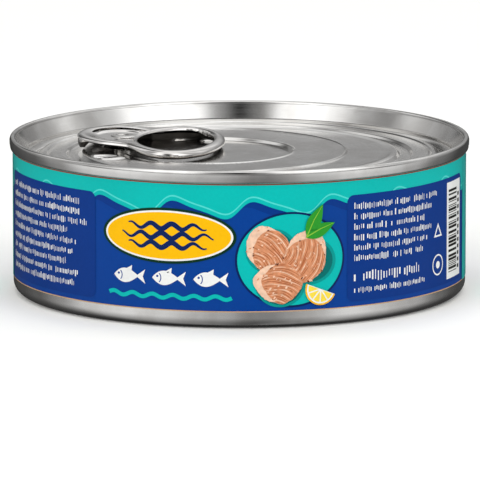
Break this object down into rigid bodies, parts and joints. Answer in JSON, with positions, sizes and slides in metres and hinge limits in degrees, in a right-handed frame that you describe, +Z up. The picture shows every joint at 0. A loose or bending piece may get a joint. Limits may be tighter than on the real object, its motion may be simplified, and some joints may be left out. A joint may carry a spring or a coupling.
{
  "type": "tuna can",
  "caption": "Shut shallow round food can, standing upright: printed drawn cup, double-seamed easy-open lid with ring beads, finger well and rivet, and a ring-pull tab.",
  "frame": {"origin": "centre of the base ring, on the surface that the can stands on", "axes": "+Z up along the can's axis, -X towards the pull tab's nose, -Y towards the front of the print"},
  "size_m": [0.087, 0.087, 0.0295],
  "materials": {
    "printed_tinplate": "tinplate printed in gloss teal and blue, bare bright metal at the base",
    "lid_tinplate": "bright tinplate with a fine rolled grain",
    "tab_steel": "bright tin-coated steel, pressed and curled"
  },
  "bodies": {
    "root": {"can_body": "printed_tinplate", "lid": "lid_tinplate", "pull_tab": "tab_steel"}
  },
  "joints": []
}
